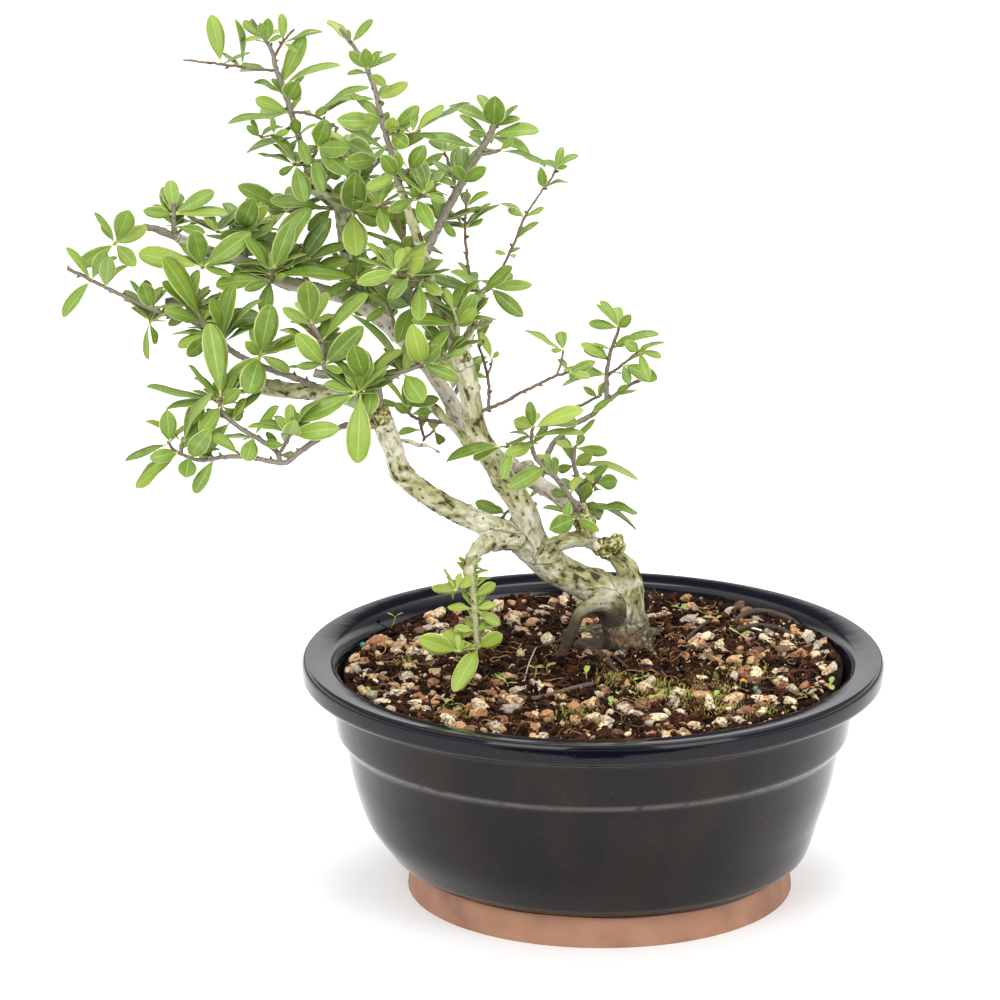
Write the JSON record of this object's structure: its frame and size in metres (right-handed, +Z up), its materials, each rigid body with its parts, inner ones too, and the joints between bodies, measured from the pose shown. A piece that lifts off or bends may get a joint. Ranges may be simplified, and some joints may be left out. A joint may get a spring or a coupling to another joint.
{
  "type": "bonsai tree in pot",
  "caption": "Leaning evergreen bonsai tree with bare old limbs and small leaves in clusters, growing in a round glazed pot of soil.",
  "frame": {"origin": "centre of the pot's flat underside", "axes": "+Z up; -Y towards the tree's front, from which it leans to -X"},
  "size_m": [0.3517, 0.252, 0.3856],
  "materials": {
    "glaze": "glossy near-black aubergine glaze over red-brown clay, which shows bare at the foot",
    "soil": "dark peat and bark with grit",
    "screen_mesh": "black plastic mesh",
    "bark": "pale grey-brown bark with fine cracks and a green tint",
    "dark_root": "dark weathered root",
    "leaf": "glossy mid-green leaf"
  },
  "bodies": {
    "root": {"pot": "glaze", "soil": "soil", "drain_screen_1": "screen_mesh", "drain_screen_2": "screen_mesh", "drain_screen_3": "screen_mesh", "trunk_and_limbs": "bark", "surface_root": "dark_root", "shoot_leader_left": "leaf", "shoot_crown_right": "leaf", "shoot_crown_left": "leaf", "shoot_crown_middle": "leaf", "shoot_leader_right": "leaf", "shoot_leader_low_right": "leaf", "shoot_leader_low_left": "leaf", "shoot_top_right": "leaf", "shoot_right_crown": "leaf", "shoot_mossy_hook": "leaf", "shoot_inner_front": "leaf", "shoot_inner_thin": "leaf", "shoot_centre_up": "leaf", "shoot_centre_back": "leaf", "shoot_centre_middle": "leaf", "shoot_inner_left": "leaf", "shoot_left_back_top": "leaf", "shoot_left_middle": "leaf", "shoot_left_top": "leaf", "shoot_left_tip": "leaf", "shoot_front_low": "leaf", "shoot_low_left": "leaf", "shoot_window": "leaf", "shoot_behind_fork": "leaf", "shoot_right_low": "leaf", "shoot_right_far": "leaf", "shoot_burr_left": "leaf", "shoot_burr_right": "leaf", "shoot_burr_front": "leaf", "shoot_hanging": "leaf", "shoot_back_low": "leaf", "shoot_back_middle": "leaf", "shoot_back_left": "leaf", "shoot_back_top": "leaf"}
  },
  "joints": []
}
